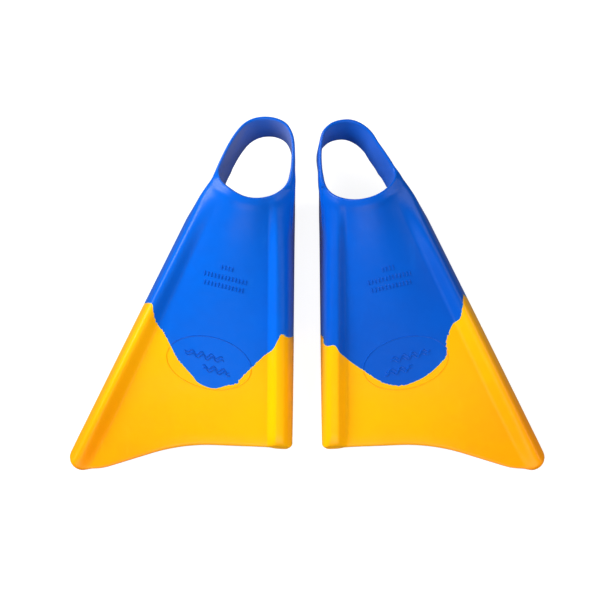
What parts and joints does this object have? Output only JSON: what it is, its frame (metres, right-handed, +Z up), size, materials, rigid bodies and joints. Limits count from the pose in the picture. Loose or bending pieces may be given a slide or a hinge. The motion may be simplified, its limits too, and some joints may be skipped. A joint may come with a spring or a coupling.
{
  "type": "pair of swim fins",
  "caption": "Pair of short asymmetric bodyboarding swim fins with closed foot pockets, heel straps and flexing blades between raised rails.",
  "frame": {"origin": "on the floor, midway between the two fins and midway along them", "axes": "+Z up, +Y towards the heels, +X towards the left foot's fin"},
  "size_m": [0.5104, 0.3729, 0.0865],
  "materials": {
    "blue_rubber": "satin",
    "yellow_rubber": "satin"
  },
  "bodies": {
    "right_pocket": {"right_sole": "blue_rubber", "right_instep_cover": "blue_rubber", "right_inner_wall": "blue_rubber", "right_outer_wall": "blue_rubber", "right_blade_root": "yellow_rubber"},
    "right_blade": {"right_blade_web": "yellow_rubber", "right_inner_rail": "yellow_rubber", "right_outer_rail": "yellow_rubber"},
    "right_strap": {"right_heel_strap": "blue_rubber"},
    "left_pocket": {"left_sole": "blue_rubber", "left_instep_cover": "blue_rubber", "left_inner_wall": "blue_rubber", "left_outer_wall": "blue_rubber", "left_blade_root": "yellow_rubber"},
    "left_blade": {"left_blade_web": "yellow_rubber", "left_inner_rail": "yellow_rubber", "left_outer_rail": "yellow_rubber"},
    "left_strap": {"left_heel_strap": "blue_rubber"}
  },
  "joints": [
    {"name": "right_blade_flex", "type": "hinge", "parent": "right_pocket", "child": "right_blade", "pos_m": [-0.098, -0.114, 0.015], "axis": [-0.972, 0.2351, 0], "range_deg": [-15, 24], "stiffness_Nm_per_rad": 8},
    {"name": "right_strap_fold", "type": "hinge", "parent": "right_pocket", "child": "right_strap", "pos_m": [-0.053, 0.1295, 0.056], "axis": [0.972, -0.2351, 0], "range_deg": [-25, 35], "stiffness_Nm_per_rad": 2},
    {"name": "left_blade_flex", "type": "hinge", "parent": "left_pocket", "child": "left_blade", "pos_m": [0.098, -0.114, 0.015], "axis": [-0.972, -0.2351, 0], "range_deg": [-15, 24], "stiffness_Nm_per_rad": 8},
    {"name": "left_strap_fold", "type": "hinge", "parent": "left_pocket", "child": "left_strap", "pos_m": [0.053, 0.1295, 0.056], "axis": [0.972, 0.2351, 0], "range_deg": [-25, 35], "stiffness_Nm_per_rad": 2},
    {"name": "left_fin_lift", "type": "slide", "parent": "right_pocket", "child": "left_pocket", "axis": [0, 0, 1], "range_m": [0, 0.3]}
  ]
}
